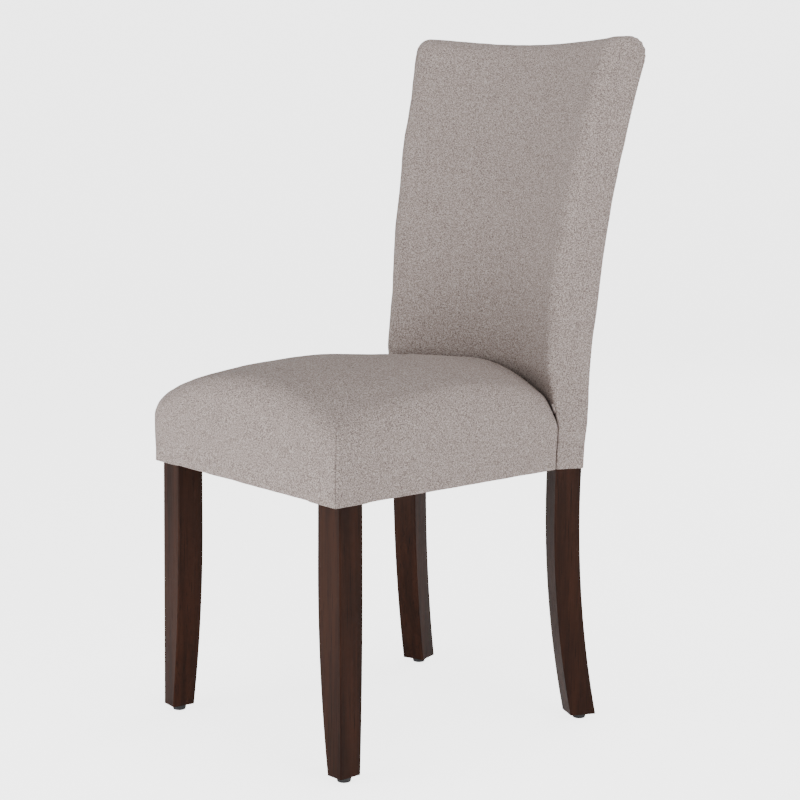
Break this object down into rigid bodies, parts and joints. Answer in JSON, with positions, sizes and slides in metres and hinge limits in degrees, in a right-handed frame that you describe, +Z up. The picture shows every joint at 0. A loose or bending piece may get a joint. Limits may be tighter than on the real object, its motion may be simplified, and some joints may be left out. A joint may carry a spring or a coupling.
{
  "type": "parsons chair",
  "caption": "Upholstered dining chair with a crowned seat, a tall back hollowed towards the sitter, and tapered dark wooden legs on round glides.",
  "frame": {"origin": "on the floor below the middle of the chair's bounding box", "axes": "+Z up, -Y towards the sitter's front, +X towards the chair's left-hand side seen from a sitter looking along -Y"},
  "size_m": [0.488, 0.5928, 1.018],
  "materials": {
    "espresso_wood": "satin, dark espresso stain",
    "frame_wood": "raw, sawn",
    "cover_fabric": "fine flat weave, taupe grey",
    "foam": "open-cell foam",
    "wadding": "fluffy polyester wadding",
    "webbing": "woven strap",
    "dust_cloth": "thin bonded cloth",
    "zinc_steel": "zinc plated",
    "glide_plastic": "moulded, dull"
  },
  "bodies": {
    "root": {"back_foam": "foam", "back_frame_dowels": "frame_wood", "back_post_left": "espresso_wood", "back_post_right": "espresso_wood", "back_rail": "frame_wood", "back_wadding": "wadding", "back_webbing": "webbing", "corner_block_front_left": "frame_wood", "corner_block_front_right": "frame_wood", "corner_block_rear_left": "frame_wood", "corner_block_rear_right": "frame_wood", "corner_block_screws": "zinc_steel", "crest_rail": "frame_wood", "dust_cover": "dust_cloth", "front_leg_left": "espresso_wood", "front_leg_right": "espresso_wood", "front_rail": "frame_wood", "glide_front_left": "glide_plastic", "glide_front_right": "glide_plastic", "glide_nails": "zinc_steel", "glide_rear_left": "glide_plastic", "glide_rear_right": "glide_plastic", "inside_back_cover": "cover_fabric", "leg_bolt_nuts": "zinc_steel", "leg_bolt_washers": "zinc_steel", "leg_bolts": "zinc_steel", "lower_back_rail": "frame_wood", "middle_back_rail": "frame_wood", "outside_back_cover": "cover_fabric", "seat_cover": "cover_fabric", "seat_foam": "foam", "seat_frame_dowels": "frame_wood", "seat_wadding": "wadding", "seat_webbing_crosswise": "webbing", "seat_webbing_lengthwise": "webbing", "side_rail_left": "frame_wood", "side_rail_right": "frame_wood"}
  },
  "joints": []
}
